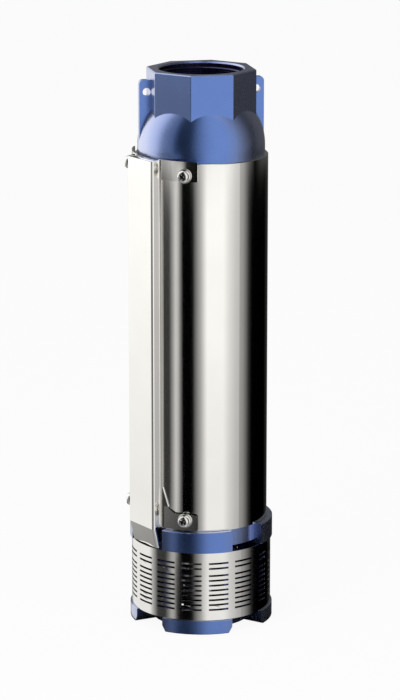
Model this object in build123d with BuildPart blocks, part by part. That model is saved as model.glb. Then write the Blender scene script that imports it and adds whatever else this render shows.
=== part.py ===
from build123d import *
import math
import os

# Three-stage borehole pump end, in millimetres. The origin is the centre of the face
# that seats on the motor, +Z is the flow direction and the cable guard faces -Y.
# Angles round the pump are counted from -Y towards +X.

# Direction of the guard in a plan, and how far cuts and webs run past the face they meet
front_angle = -90.0
overrun = 1.0

# Outer shell
shell_diameter = 139.7
shell_wall = 3.2
shell_edge_break = 0.6

# Fits between pieces
slip_gap = 0.15
press_gap = 0.05
running_gap = 0.08
neck_gap = 0.3

# Suction casing, between the motor and the shell
casing_height = 111.8
foot_height = 14.6
foot_radius = 76.0
column_count = 4
column_turn = 51.9
column_sweep = 58.6
column_rib_sweep = 6.0
column_top_drop = 0.3
column_top_break = 0.8
foot_chamfer_width = 4.0
foot_chamfer_height = 6.5
base_ring_radius = 52.0
base_ring_height = 16.0
inlet_inner_radius = 46.0
crown_height = 18.5
crown_wall = 3.2
inlet_throat_drop = 15.0
casing_spigot_length = 22.2
cable_way_half_width = 24.5
cable_way_distance = 66.0
spider_arm_thickness = 6.0

# Motor interface of a 6 inch borehole motor
motor_register_diameter = 76.2
motor_stud_circle = 111.12
motor_stud_hole = 14.0
motor_stud_count = 4
motor_shaft_diameter = 25.4
spline_teeth = 15
spline_depth = 1.4

# Suction strainer sleeve
strainer_recess = 1.8
strainer_wall = 1.2
strainer_end_gap = 0.3
strainer_seam = 0.8
strainer_seam_turn = 165.0
slot_column_count = 16
slot_turn = 2.6
slot_length = 21.4
slot_height = 2.1
slot_lower_rows = 8
slot_upper_rows = 2
slot_pitch = 5.35
slot_first_level = 26.6
slot_group_gap = 7.9

# Discharge head
head_band_height = 9.0
collar_top_rise = 79.9
collar_across_flats = 107.2
collar_corner_round = 1.2
collar_edge_chamfer = 1.0
head_wall = 8.5
head_cavity_rise = 20.0
head_spigot_length = 44.4
outlet_thread_diameter = 87.88
outlet_thread_depth = 36.0
outlet_throat_step = 2.0
outlet_mouth_chamfer = 1.5
ear_turn = -22.5
ear_thickness = 7.0
ear_radius = 66.0
ear_drop = 10.3
ear_corner_round = 4.5
ear_hole_diameter = 8.4
ear_hole_radius = 58.2
ear_hole_drop = 22.9

# Rubber rings in the head and casing spigots
ring_groove_width = 3.6
ring_groove_depth = 2.6
head_ring_rise = 12.0
casing_ring_rise = 2.6

# Cable guard and its screws
guard_sheet = 1.5
guard_stand_off = 7.35
guard_half_width = 23.0
guard_bend_round = 2.6
guard_top_rise = 3.1
guard_face_rise = 1.0
guard_wall_drop = 0.6
guard_shell_gap = 0.2
guard_lip_sweep = 1.7
tab_bend_radius = 90.0
tab_root_turn = 18.5
tab_end_turn = 45.6
tab_corner_round = 1.5
upper_tab_height = 20.8
lower_tab_rise = 1.6
lower_tab_height = 17.5
lower_tab_round = 5.0
flare_rise = 45.2
flare_turn = 21.0
flare_knee_rise = 23.7
flare_knee_turn = 27.1
flare_foot_turn = 33.0
apron_inset = 5.3
apron_end_rise = 0.9
apron_return = 4.4
screw_turn = 37.0
upper_screw_drop = 11.6
lower_screw_rise = 12.4
screw_shank_diameter = 6.0
screw_hole_diameter = 6.6
screw_head_diameter = 14.0
screw_head_height = 6.2
screw_head_bevel = 1.8
screw_reach = 11.5
recess_width = 2.0
recess_length = 7.6
recess_depth = 2.6
washer_diameter = 15.2
washer_thickness = 1.6

# Bowls, with the wear parts they carry
stage_count = 3
stage_pitch = 108.0
bowl_wall = 3.5
bowl_gap = 0.35
register_height = 3.0
register_width = 6.5
bowl_slope_rise = 72.0
hub_start = 57.0
hub_rim_radius = 54.0
hub_nose_drop = 10.0
hub_wall = 4.0
guide_vane_count = 7
guide_vane_thickness = 3.0
guide_vane_sweep = 48.0
guide_vane_bow = 0.33
neck_ring_radius = 49.0
neck_ring_wall = 4.2
neck_ring_height = 10.0
bush_wall = 4.0
lower_bush_level = 87.0

# Impellers, numbers taken from the foot of their own stage
impeller_lift = 2.0
impeller_height = 52.0
eye_wall = 2.5
eye_drop = 8.0
shroud_wall = 3.0
eye_bend_rise = 6.0
shroud_tip_radius = 58.0
shroud_tip_rise = 40.0
back_plate_wall = 3.0
back_plate_radius = 50.0
back_plate_bend_rise = 24.0
impeller_hub_radius = 19.0
blade_count = 6
blade_thickness = 2.6
blade_sweep = 62.0
blade_bow = 0.625

# Rotor
shaft_across_flats = 22.0
shaft_end_diameter = 16.0
shaft_end_length = 15.0
shaft_end_chamfer = 1.0
sleeve_radius = 16.0
coupling_radius = 19.0
coupling_start = 4.0
coupling_length = 70.0
coupling_socket_depth = 31.0
coupling_web = 4.0
coupling_chamfer = 1.0
lock_screw_diameter = 6.0
lock_screw_inset = 1.0
lock_screw_drop = 20.0
lock_screw_socket = 3.0
shaft_washer_radius = 15.0
shaft_washer_thickness = 2.5
nut_across_flats = 24.0
nut_height = 10.0

# Check valve
seat_level_rise = 14.0
seat_recess = 2.65
seat_width = 16.0
seat_land = 5.0
seat_land_height = 1.5
disc_side_gap = 9.0
disc_thickness = 2.6
seal_thickness = 2.4
seal_rim = 1.0
seal_width = 6.5
seal_lift = 0.1
valve_stem_radius = 6.0
cage_ring_height = 10.0
cage_ring_width = 5.5
cage_leg_count = 3
cage_leg_thickness = 5.0
cage_leg_width = 4.5
cage_leg_inset = 3.0
cage_leg_rise = 33.0
cage_arm_rise = 5.0
cage_hub_radius = 11.0
cage_hub_rise = 46.0
cage_hub_height = 15.0
stem_end_rise = 2.5
stem_end_chamfer = 1.0
spring_radius = 9.6
spring_wire = 1.8
spring_turns = 4.5

# Levels and radii worked out from the sizes above
shell_radius = shell_diameter / 2
shell_bore_radius = shell_radius - shell_wall
shell_length = casing_spigot_length + stage_count * stage_pitch + head_spigot_length
shell_bottom = casing_height
shell_top = shell_bottom + shell_length
body_radius = shell_bore_radius - slip_gap
dome_level = shell_top + head_band_height
collar_top = dome_level + collar_top_rise
collar_radius = collar_across_flats / 2 / math.cos(math.pi / 8)
spigot_bottom = shell_top - head_spigot_length
stack_base = shell_bottom + casing_spigot_length
stack_top = stack_base + stage_count * stage_pitch
strainer_radius = foot_radius - strainer_recess
strainer_bore_radius = strainer_radius - strainer_wall
column_radius = strainer_bore_radius - slip_gap
slot_levels = [slot_first_level + slot_pitch * row for row in range(slot_lower_rows)]
slot_levels += [slot_levels[-1] + slot_group_gap + slot_pitch * row for row in range(slot_upper_rows)]
column_head_level = slot_levels[-1] + slot_first_level - foot_height
strainer_bottom = foot_height + strainer_end_gap
strainer_top = column_head_level - strainer_end_gap
crown_level = casing_height - crown_height
crown_rim_radius = body_radius - crown_wall
guard_face_distance = shell_radius + guard_stand_off
guard_top = shell_top + guard_top_rise
guard_wall_bottom = shell_bottom - guard_wall_drop
guard_bore_radius = shell_radius + guard_shell_gap
bush_bore_radius = sleeve_radius + running_gap
bush_outer_radius = bush_bore_radius + bush_wall
hub_bore_radius = bush_outer_radius + press_gap
hub_sleeve_radius = hub_bore_radius + hub_wall
neck_bore_radius = neck_ring_radius + press_gap
neck_ring_bore_radius = neck_ring_radius - neck_ring_wall
skirt_radius = neck_ring_bore_radius - neck_gap
eye_radius = skirt_radius - eye_wall
bowl_radius = body_radius - bowl_gap
chamber_radius = bowl_radius - bowl_wall
register_radius = chamber_radius - slip_gap
seat_level = spigot_bottom + seat_level_rise
seat_radius = chamber_radius - seat_recess
seat_throat_radius = seat_radius - seat_width
disc_radius = seat_radius - disc_side_gap
seal_outer_radius = disc_radius - seal_rim
seal_inner_radius = seal_outer_radius - seal_width
cage_leg_radius = seat_radius - cage_leg_inset
cage_shoulder = seat_level + cage_ring_height
head_cavity_radius = body_radius - head_wall
disc_level = seat_level + seal_lift + seal_thickness
cage_hub_level = seat_level + cage_hub_rise
thread_radius = outlet_thread_diameter / 2
thread_bottom = collar_top - outlet_thread_depth
throat_radius = thread_radius - outlet_throat_step
upper_screw_level = shell_top - upper_screw_drop
lower_screw_level = shell_bottom + lower_screw_rise
coupling_top = coupling_start + coupling_length
shaft_bottom = coupling_start + coupling_socket_depth + coupling_web
last_sleeve_top = stack_top - hub_nose_drop + 2 * impeller_lift
column_turns = [column_turn + 360 / column_count * index for index in range(column_count)]
screw_places = [(side, level) for level in (upper_screw_level, lower_screw_level) for side in (-1, 1)]
stage_levels = [stack_base + stage_pitch * index for index in range(stage_count)]

os.makedirs("parts", exist_ok=True)


def outward_plane(turn, distance=0.0, level=0.0):
    """Plane facing away from the axis: x runs round the pump, y runs up."""
    angle = math.radians(turn)
    facing = (math.sin(angle), -math.cos(angle), 0)
    origin = (facing[0] * distance, facing[1] * distance, level)
    return Plane(origin=origin, x_dir=(math.cos(angle), math.sin(angle), 0), z_dir=facing)


def radial_plane(turn):
    """Plane through the axis: x is the distance from the axis, y is the height."""
    angle = math.radians(turn)
    outward = (math.sin(angle), -math.cos(angle), 0)
    return Plane(origin=(0, 0, 0), x_dir=outward, z_dir=(-math.cos(angle), -math.sin(angle), 0))


def sector_face(inner, outer, turn, sweep):
    """Face between two radii, centred on an angle round the pump."""
    start = turn + front_angle - sweep / 2
    with BuildLine() as outline:
        outer_arc = CenterArc((0, 0), outer, start, sweep)
        inner_arc = CenterArc((0, 0), inner, start, sweep)
        Line(outer_arc @ 0, inner_arc @ 0)
        Line(outer_arc @ 1, inner_arc @ 1)
    make_face(outline.edges())


def section_face(*corners):
    """Closed straight-sided face through the given corners."""
    with BuildLine() as outline:
        Polyline(*corners, close=True)
    make_face(outline.edges())


def ring_section_face(inner, outer, bottom, top):
    """Rectangular section of a ring, drawn beside the axis."""
    section_face((inner, bottom), (outer, bottom), (outer, top), (inner, top))


def tab_centre(side):
    """Centre of the bend that a guard tab follows, on one side of the guard."""
    angle = math.radians(tab_root_turn)
    offset = tab_bend_radius - guard_bore_radius
    return (-side * offset * math.sin(angle), offset * math.cos(angle))


def screw_plane(side, distance, level):
    """Plane square to a guard tab at its screw, at a distance from the tab's outer face."""
    centre = tab_centre(side)
    angle = math.radians(side * screw_turn)
    reach = tab_bend_radius + guard_sheet + distance
    origin = (centre[0] + reach * math.sin(angle), centre[1] - reach * math.cos(angle), level)
    facing = (math.sin(angle), -math.cos(angle), 0)
    return Plane(origin=origin, x_dir=(math.cos(angle), math.sin(angle), 0), z_dir=facing)


def tab_face(side, start_turn, end_turn):
    """Plan of a guard tab: a strip of sheet bent round a circle larger than the shell."""
    centre = tab_centre(side)
    start = side * start_turn + front_angle
    sweep = side * (end_turn - start_turn)
    with BuildLine() as outline:
        inner_arc = CenterArc(centre, tab_bend_radius, start, sweep)
        outer_arc = CenterArc(centre, tab_bend_radius + guard_sheet, start, sweep)
        Line(inner_arc @ 0, outer_arc @ 0)
        Line(inner_arc @ 1, outer_arc @ 1)
    make_face(outline.edges())


def finish(part, label):
    """Name a finished piece and write it to its file."""
    part.label = label
    export_step(part, f"parts/{label}.step")


# Shell: drawn tube that holds the bowls between the two castings
with BuildPart() as shell:
    with BuildSketch(Plane.XY.offset(shell_bottom)):
        Circle(shell_radius)
        Circle(shell_bore_radius, mode=Mode.SUBTRACT)
    extrude(amount=shell_length)
    top_edges = shell.edges().filter_by(GeomType.CIRCLE).group_by(Axis.Z)[-1]
    chamfer(top_edges.sort_by(SortBy.RADIUS)[-1], shell_edge_break)
    for side, level in screw_places:
        with BuildSketch(screw_plane(side, 0, level)):
            Circle(screw_hole_diameter / 2)
        extrude(amount=-screw_reach, mode=Mode.SUBTRACT)
finish(shell.part, "shell")


# Suction casing: cast foot ring, four hollow columns and the crown that carries the shell
with BuildPart() as suction_casing:
    with BuildSketch(Plane.XZ):
        ring_section_face(motor_register_diameter / 2, base_ring_radius, 0, base_ring_height)
        ring_section_face(hub_bore_radius, hub_sleeve_radius, lower_bush_level, stack_base - neck_ring_height)
    revolve(axis=Axis.Z)
    for turn in column_turns:
        with BuildSketch(Plane.XY):
            sector_face(inlet_inner_radius, foot_radius, turn, column_sweep)
        extrude(amount=foot_height)
        with BuildSketch(Plane.XY):
            sector_face(inlet_inner_radius, column_radius, turn, column_sweep)
        extrude(amount=base_ring_height)
        for side in (-1, 1):
            rib_turn = turn + side * (column_sweep - column_rib_sweep) / 2
            with BuildSketch(Plane.XY):
                sector_face(inlet_inner_radius, column_radius, rib_turn, column_rib_sweep)
            extrude(amount=crown_level)
        with BuildSketch(Plane.XY.offset(column_head_level)):
            sector_face(crown_rim_radius - crown_wall, foot_radius, turn, column_sweep)
        extrude(amount=casing_height - column_top_drop - column_head_level)
    outer_edges = [
        edge
        for edge in suction_casing.edges().filter_by(GeomType.CIRCLE)
        if abs(edge.radius - foot_radius) < slip_gap
    ]
    chamfer(ShapeList(outer_edges).group_by(Axis.Z)[-1], column_top_break)
    bottom_face = suction_casing.faces().sort_by(Axis.Z)[0]
    foot_corners = [
        edge
        for edge in bottom_face.edges().filter_by(GeomType.LINE)
        if edge.length > foot_radius - base_ring_radius - slip_gap
    ]
    chamfer(foot_corners, length=foot_chamfer_width, length2=foot_chamfer_height, reference=bottom_face)
    with BuildSketch(Plane.XY.offset(column_head_level - slip_gap)):
        with Locations((0, -cable_way_distance - foot_radius / 2)):
            Rectangle(2 * cable_way_half_width, foot_radius)
    extrude(amount=casing_height - column_head_level, mode=Mode.SUBTRACT)
    with BuildSketch(Plane.XZ):
        throat_level = stack_base - inlet_throat_drop
        bore_step = stack_base - neck_ring_height - press_gap
        section_face(
            (crown_rim_radius, crown_level),
            (neck_ring_bore_radius, throat_level),
            (neck_ring_bore_radius, bore_step),
            (neck_bore_radius, bore_step),
            (neck_bore_radius, stack_base),
            (register_radius - register_width, stack_base),
            (register_radius - register_width, stack_base + register_height),
            (register_radius, stack_base + register_height),
            (register_radius, stack_base),
            (body_radius, stack_base),
            (body_radius, crown_level),
        )
    revolve(axis=Axis.Z)
    for turn in column_turns:
        with BuildSketch(radial_plane(turn + 180 / column_count)):
            section_face(
                (hub_sleeve_radius - slip_gap, lower_bush_level),
                (crown_rim_radius + overrun, crown_level),
                (crown_rim_radius + overrun, casing_height),
                (hub_sleeve_radius - slip_gap, casing_height),
            )
        extrude(amount=spider_arm_thickness / 2, both=True)
    with BuildSketch(Plane.XY):
        with PolarLocations(motor_stud_circle / 2, motor_stud_count, start_angle=column_turn + front_angle):
            Circle(motor_stud_hole / 2)
    extrude(amount=base_ring_height, mode=Mode.SUBTRACT)
    with BuildSketch(Plane.XY.offset(shell_bottom + casing_ring_rise)):
        Circle(body_radius + overrun)
        Circle(body_radius - ring_groove_depth, mode=Mode.SUBTRACT)
    extrude(amount=ring_groove_width, mode=Mode.SUBTRACT)
    for side in (-1, 1):
        with BuildSketch(screw_plane(side, 0, lower_screw_level)):
            Circle(screw_shank_diameter / 2 + press_gap)
        extrude(amount=-screw_reach - overrun, mode=Mode.SUBTRACT)
finish(suction_casing.part, "suction_casing")


# Strainer: rolled sleeve with columns of punched slots, sprung round the casing at a seam
with BuildPart() as strainer:
    with BuildSketch(Plane.XY.offset(strainer_bottom)):
        Circle(strainer_radius)
        Circle(strainer_bore_radius, mode=Mode.SUBTRACT)
    extrude(amount=strainer_top - strainer_bottom)
    for column in range(slot_column_count):
        slot_face_turn = slot_turn + 360 / slot_column_count * column
        with BuildSketch(outward_plane(slot_face_turn, strainer_radius + overrun)):
            with Locations([(0, level) for level in slot_levels]):
                Rectangle(slot_length, slot_height)
        extrude(amount=-strainer_radius / 4, mode=Mode.SUBTRACT)
    with BuildSketch(outward_plane(strainer_seam_turn, strainer_radius + overrun)):
        with Locations((0, (strainer_bottom + strainer_top) / 2)):
            Rectangle(strainer_seam, strainer_top - strainer_bottom + 2 * overrun)
    extrude(amount=-strainer_radius / 4, mode=Mode.SUBTRACT)
finish(strainer.part, "strainer")


# Discharge head: cast dome that meets an octagonal threaded collar, with two lifting ears
with BuildPart() as discharge_head:
    with BuildSketch(Plane.XZ):
        with BuildLine():
            Polyline((0, spigot_bottom), (body_radius, spigot_bottom), (body_radius, dome_level))
            dome_arc = CenterArc((0, dome_level), body_radius, 0, 90)
            Line(dome_arc @ 1, (0, spigot_bottom))
        make_face()
    revolve(axis=Axis.Z)
    with BuildSketch(Plane.XY.offset(dome_level)) as collar_face:
        RegularPolygon(collar_radius, 8)
        fillet(collar_face.vertices(), collar_corner_round)
    extrude(amount=collar_top_rise)
    chamfer(discharge_head.faces().sort_by(Axis.Z)[-1].edges(), collar_edge_chamfer)
    ear_top = collar_top - ear_drop
    ear_root = throat_radius + outlet_throat_step
    ear_middle = ((ear_radius + ear_root) / 2, (ear_top + dome_level) / 2)
    for turn in (ear_turn, ear_turn + 180):
        with BuildSketch(radial_plane(turn)) as ear_face:
            with Locations(ear_middle):
                Rectangle(ear_radius - ear_root, ear_top - dome_level)
            fillet(ear_face.vertices().group_by(Axis.X)[-1], ear_corner_round)
            with Locations((ear_hole_radius, collar_top - ear_hole_drop)):
                Circle(ear_hole_diameter / 2, mode=Mode.SUBTRACT)
        extrude(amount=ear_thickness / 2, both=True)
    with BuildSketch(Plane.XZ):
        seat_shelf = spigot_bottom + register_height + slip_gap
        section_face(
            (0, spigot_bottom),
            (chamber_radius, spigot_bottom),
            (chamber_radius, seat_shelf),
            (seat_radius + press_gap, seat_shelf),
            (seat_radius + press_gap, cage_shoulder),
            (head_cavity_radius, cage_shoulder),
            (head_cavity_radius, dome_level + head_cavity_rise),
            (throat_radius, thread_bottom),
            (thread_radius, thread_bottom),
            (thread_radius, collar_top - outlet_mouth_chamfer),
            (thread_radius + outlet_mouth_chamfer, collar_top),
            (0, collar_top),
        )
    revolve(axis=Axis.Z, mode=Mode.SUBTRACT)
    with BuildSketch(Plane.XY.offset(spigot_bottom + head_ring_rise)):
        Circle(body_radius + overrun)
        Circle(body_radius - ring_groove_depth, mode=Mode.SUBTRACT)
    extrude(amount=ring_groove_width, mode=Mode.SUBTRACT)
    for side in (-1, 1):
        with BuildSketch(screw_plane(side, 0, upper_screw_level)):
            Circle(screw_shank_diameter / 2 + press_gap)
        extrude(amount=-screw_reach - overrun, mode=Mode.SUBTRACT)
finish(discharge_head.part, "discharge_head")


# Square-section rubber rings: one in the groove of each spigot, squeezed against the shell
ring_inner_radius = body_radius - ring_groove_depth + press_gap
ring_section = shell_bore_radius - press_gap - ring_inner_radius
ring_level = spigot_bottom + head_ring_rise + ring_groove_width / 2
with BuildPart() as head_o_ring:
    with BuildSketch(Plane.XZ):
        with Locations((ring_inner_radius + ring_section / 2, ring_level)):
            Rectangle(ring_section, ring_section)
    revolve(axis=Axis.Z)
finish(head_o_ring.part, "head_o_ring")
casing_ring_level = shell_bottom + casing_ring_rise + ring_groove_width / 2
finish(head_o_ring.part.moved(Location((0, 0, casing_ring_level - ring_level))), "casing_o_ring")


# Cable guard: channel of bent sheet with screwed tabs and a sloping apron at its lower end
wall_root = guard_bore_radius * math.cos(math.radians(tab_root_turn)) - 2 * guard_sheet
apron_end = column_head_level + apron_end_rise
apron_slide = (0, apron_inset, apron_end - guard_wall_bottom)
lower_tab_top = shell_bottom + lower_tab_rise + lower_tab_height
with BuildPart() as guard_tabs:
    for side in (-1, 1):
        with BuildSketch(Plane.XY.offset(guard_top - upper_tab_height)):
            tab_face(side, tab_root_turn, tab_end_turn)
        extrude(amount=upper_tab_height)
        with BuildSketch(Plane.XY.offset(shell_bottom + lower_tab_rise)):
            tab_face(side, tab_root_turn, tab_end_turn)
        extrude(amount=lower_tab_height)
    tab_corners = guard_tabs.edges().filter_by(GeomType.LINE).filter_by(Axis.Z, reverse=True)
    end_corners = tab_corners.sort_by(Axis.X)[:4] + tab_corners.sort_by(Axis.X)[-4:]
    end_corners = ShapeList(end_corners).group_by(Axis.Z)
    fillet(end_corners[1], lower_tab_round)
    fillet(end_corners[0], tab_corner_round)
    fillet(end_corners[2] + end_corners[3], tab_corner_round)
with BuildPart() as guard_flares:
    for side in (-1, 1):
        with BuildSketch(Plane.XY.offset(lower_tab_top - overrun)):
            tab_face(side, tab_root_turn, flare_foot_turn)
        extrude(amount=shell_bottom + flare_rise - lower_tab_top + overrun)
    reach = shell_radius + guard_sheet
    flare_turns = (flare_turn, flare_knee_turn, flare_foot_turn)
    flare_x = [reach * math.sin(math.radians(turn)) for turn in flare_turns]
    with BuildSketch(Plane.XZ.offset(shell_radius / 2)):
        section_face(
            (flare_x[0], shell_bottom + flare_rise),
            (flare_x[1], shell_bottom + flare_knee_rise),
            (flare_x[2], lower_tab_top),
            (flare_x[2], lower_tab_top - overrun),
            (-flare_x[2], lower_tab_top - overrun),
            (-flare_x[2], lower_tab_top),
            (-flare_x[1], shell_bottom + flare_knee_rise),
            (-flare_x[0], shell_bottom + flare_rise),
        )
    extrude(amount=shell_radius, mode=Mode.INTERSECT)
with BuildPart() as cable_guard:
    with BuildSketch(Plane.XY.offset(guard_wall_bottom)) as channel_face:
        channel_depth = guard_face_distance - wall_root
        with Locations((0, -wall_root - channel_depth / 2)):
            Rectangle(2 * guard_half_width, channel_depth)
        fillet(channel_face.vertices().group_by(Axis.Y)[0], guard_bend_round)
        offset(amount=-guard_sheet, mode=Mode.SUBTRACT)
        Circle(guard_bore_radius, mode=Mode.SUBTRACT)
    extrude(amount=guard_top - guard_wall_bottom)
    with BuildSketch(Plane.YZ):
        section_face(
            (-guard_face_distance - overrun, shell_top + guard_face_rise),
            (-wall_root, guard_top),
            (-wall_root, guard_top + overrun),
            (-guard_face_distance - overrun, guard_top + overrun),
        )
    extrude(amount=guard_half_width + overrun, both=True, mode=Mode.SUBTRACT)
    with BuildSketch(Plane.XY.offset(guard_wall_bottom)) as apron_face:
        with Locations((0, -guard_face_distance + channel_depth / 2)):
            Rectangle(2 * guard_half_width, channel_depth)
        fillet(apron_face.vertices().group_by(Axis.Y)[0], guard_bend_round)
        offset(amount=-guard_sheet, mode=Mode.SUBTRACT)
        with Locations((0, -guard_face_distance + apron_return + channel_depth / 2)):
            Rectangle(2 * guard_half_width + overrun, channel_depth, mode=Mode.SUBTRACT)
    extrude(amount=Vector(apron_slide).length, dir=Vector(apron_slide).normalized())
    for side in (-1, 1):
        with BuildSketch(Plane.XY.offset(shell_bottom + lower_tab_rise)):
            tab_face(side, tab_root_turn - guard_lip_sweep / 2, tab_root_turn + guard_lip_sweep)
        extrude(amount=guard_top - shell_bottom - lower_tab_rise)
    add(guard_tabs.part)
    add(guard_flares.part)
    for side, level in screw_places:
        with BuildSketch(screw_plane(side, overrun, level)):
            Circle(screw_hole_diameter / 2)
        extrude(amount=-guard_sheet - 3 * overrun, mode=Mode.SUBTRACT)
finish(cable_guard.part, "cable_guard")


# Guard screws and washers: four pan-head screws with a cross recess, each on a plain washer
with BuildPart() as guard_screws:
    for side, level in screw_places:
        with BuildSketch(screw_plane(side, washer_thickness, level)):
            Circle(screw_head_diameter / 2)
        extrude(amount=screw_head_height)
        with BuildSketch(screw_plane(side, washer_thickness, level)):
            Circle(screw_shank_diameter / 2)
        extrude(amount=-screw_reach - washer_thickness)
    head_rims = guard_screws.edges().filter_by(GeomType.CIRCLE)
    outer_rims = []
    for side, level in screw_places:
        rim_centre = screw_plane(side, washer_thickness + screw_head_height, level).origin
        outer_rims += [edge for edge in head_rims if (edge.arc_center - rim_centre).length < slip_gap]
    chamfer(outer_rims, screw_head_bevel)
    for side, level in screw_places:
        with BuildSketch(screw_plane(side, washer_thickness + screw_head_height, level)):
            Rectangle(recess_length, recess_width)
            Rectangle(recess_width, recess_length)
        extrude(amount=-recess_depth, mode=Mode.SUBTRACT)
finish(guard_screws.part, "guard_screws")

with BuildPart() as guard_washers:
    for side, level in screw_places:
        with BuildSketch(screw_plane(side, 0, level)):
            Circle(washer_diameter / 2)
            Circle(screw_hole_diameter / 2, mode=Mode.SUBTRACT)
        extrude(amount=washer_thickness)
finish(guard_washers.part, "guard_washers")


# Bowls: each closes its stage with a plate, guide vanes and a hub that holds the bush
hub_top = stage_pitch - hub_nose_drop
with BuildPart() as guide_vanes:
    with BuildSketch(Plane.XY.offset(hub_start)):
        vane_turn = math.radians(guide_vane_sweep)
        vane_middle = (hub_bore_radius + bowl_radius) / 2
        vane_bend = vane_turn * guide_vane_bow
        with BuildLine():
            ThreePointArc(
                (hub_bore_radius, 0),
                (vane_middle * math.cos(vane_bend), vane_middle * math.sin(vane_bend)),
                (bowl_radius * math.cos(vane_turn), bowl_radius * math.sin(vane_turn)),
            )
        trace(line_width=guide_vane_thickness)
    vane = extrude(amount=hub_top - hub_start)
    for index in range(1, guide_vane_count):
        with Locations(Location((0, 0, 0), (0, 0, 360 / guide_vane_count * index))):
            add(vane)
    with BuildSketch(Plane.XZ):
        section_face(
            (hub_rim_radius - hub_wall / 2, hub_start),
            (hub_sleeve_radius - hub_wall / 2, hub_top - hub_wall / 2),
            (neck_ring_bore_radius, hub_top),
            (chamber_radius + bowl_wall / 2, bowl_slope_rise + bowl_wall),
            (chamber_radius + bowl_wall / 2, hub_start),
        )
    revolve(axis=Axis.Z, mode=Mode.INTERSECT)
with BuildPart() as bowl:
    with BuildSketch(Plane.XZ):
        section_face(
            (chamber_radius, 0),
            (chamber_radius, bowl_slope_rise),
            (neck_ring_bore_radius, hub_top - press_gap),
            (neck_bore_radius, hub_top - press_gap),
            (neck_bore_radius, stage_pitch),
            (register_radius - register_width, stage_pitch),
            (register_radius - register_width, stage_pitch + register_height),
            (register_radius, stage_pitch + register_height),
            (register_radius, stage_pitch),
            (bowl_radius, stage_pitch),
            (bowl_radius, 0),
        )
        section_face(
            (hub_rim_radius, hub_start),
            (hub_sleeve_radius, hub_top),
            (hub_bore_radius, hub_top),
            (hub_bore_radius, hub_start),
            (hub_sleeve_radius, hub_start),
            (hub_sleeve_radius, hub_top - 2 * hub_wall),
            (hub_rim_radius - hub_wall, hub_start),
        )
    revolve(axis=Axis.Z)
    add(guide_vanes.part)
for index, level in enumerate(stage_levels):
    finish(bowl.part.moved(Location((0, 0, level))), f"bowl_{index + 1}")


# Neck rings: pressed in round each impeller eye
with BuildPart() as neck_ring:
    with BuildSketch(Plane.XZ):
        ring_section_face(neck_ring_bore_radius, neck_ring_radius, -neck_ring_height, 0)
    revolve(axis=Axis.Z)
for index, level in enumerate(stage_levels):
    finish(neck_ring.part.moved(Location((0, 0, level))), f"neck_ring_{index + 1}")


# Bushes: one pressed in the casing spider and one in each bowl hub
lower_bush_top = stack_base - neck_ring_height
with BuildPart() as lower_bush:
    with BuildSketch(Plane.XZ):
        ring_section_face(bush_bore_radius, bush_outer_radius, lower_bush_level, lower_bush_top)
    revolve(axis=Axis.Z)
finish(lower_bush.part, "lower_bush")
with BuildPart() as stage_bush:
    with BuildSketch(Plane.XZ):
        ring_section_face(bush_bore_radius, bush_outer_radius, hub_start, hub_top)
    revolve(axis=Axis.Z)
for index, level in enumerate(stage_levels):
    finish(stage_bush.part.moved(Location((0, 0, level))), f"stage_bush_{index + 1}")


# Impellers: closed mixed-flow wheels that slide on the hexagonal shaft
with BuildPart() as impeller_blades:
    with BuildSketch(Plane.XY):
        blade_turn = math.radians(blade_sweep)
        blade_middle = (impeller_hub_radius + shroud_tip_radius) / 2
        blade_bend = blade_turn * blade_bow
        with BuildLine():
            ThreePointArc(
                (impeller_hub_radius, 0),
                (blade_middle * math.cos(blade_bend), blade_middle * math.sin(blade_bend)),
                (shroud_tip_radius * math.cos(blade_turn), shroud_tip_radius * math.sin(blade_turn)),
            )
        trace(line_width=blade_thickness)
    blade = extrude(amount=impeller_height)
    for index in range(1, blade_count):
        with Locations(Location((0, 0, 0), (0, 0, 360 / blade_count * index))):
            add(blade)
    with BuildSketch(Plane.XZ):
        section_face(
            (impeller_hub_radius - overrun, eye_bend_rise),
            (eye_radius + eye_wall / 2, eye_bend_rise),
            (shroud_tip_radius, shroud_tip_rise - shroud_wall / 2),
            (back_plate_radius, impeller_height - back_plate_wall / 2),
            (impeller_hub_radius - overrun, back_plate_bend_rise + back_plate_wall / 2),
        )
    revolve(axis=Axis.Z, mode=Mode.INTERSECT)
with BuildPart() as impeller:
    with BuildSketch(Plane.XZ):
        section_face(
            (eye_radius, -eye_drop - impeller_lift),
            (skirt_radius, -eye_drop - impeller_lift),
            (skirt_radius, eye_bend_rise - shroud_wall / 2),
            (shroud_tip_radius + shroud_wall / 2, shroud_tip_rise - shroud_wall),
            (shroud_tip_radius, shroud_tip_rise),
            (eye_radius, eye_bend_rise),
        )
        section_face(
            (0, 0),
            (impeller_hub_radius, 0),
            (impeller_hub_radius, back_plate_bend_rise),
            (back_plate_radius, impeller_height - back_plate_wall),
            (back_plate_radius, impeller_height),
            (0, impeller_height),
        )
    revolve(axis=Axis.Z)
    add(impeller_blades.part)
    with BuildSketch(Plane.XY):
        RegularPolygon(shaft_across_flats / 2 + press_gap, 6, major_radius=False)
    extrude(amount=impeller_height, mode=Mode.SUBTRACT)
for index, level in enumerate(stage_levels):
    finish(impeller.part.moved(Location((0, 0, level + impeller_lift))), f"impeller_{index + 1}")


# Shaft: hexagonal bar with a round threaded end at the top
with BuildPart() as pump_shaft:
    with BuildSketch(Plane.XY.offset(shaft_bottom)):
        RegularPolygon(shaft_across_flats / 2, 6, major_radius=False)
    extrude(amount=last_sleeve_top - shaft_bottom)
    with BuildSketch(Plane.XY.offset(last_sleeve_top)):
        Circle(shaft_end_diameter / 2)
    extrude(amount=shaft_end_length)
    chamfer(pump_shaft.faces().sort_by(Axis.Z)[-1].edges(), shaft_end_chamfer)
finish(pump_shaft.part, "pump_shaft")


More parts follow.
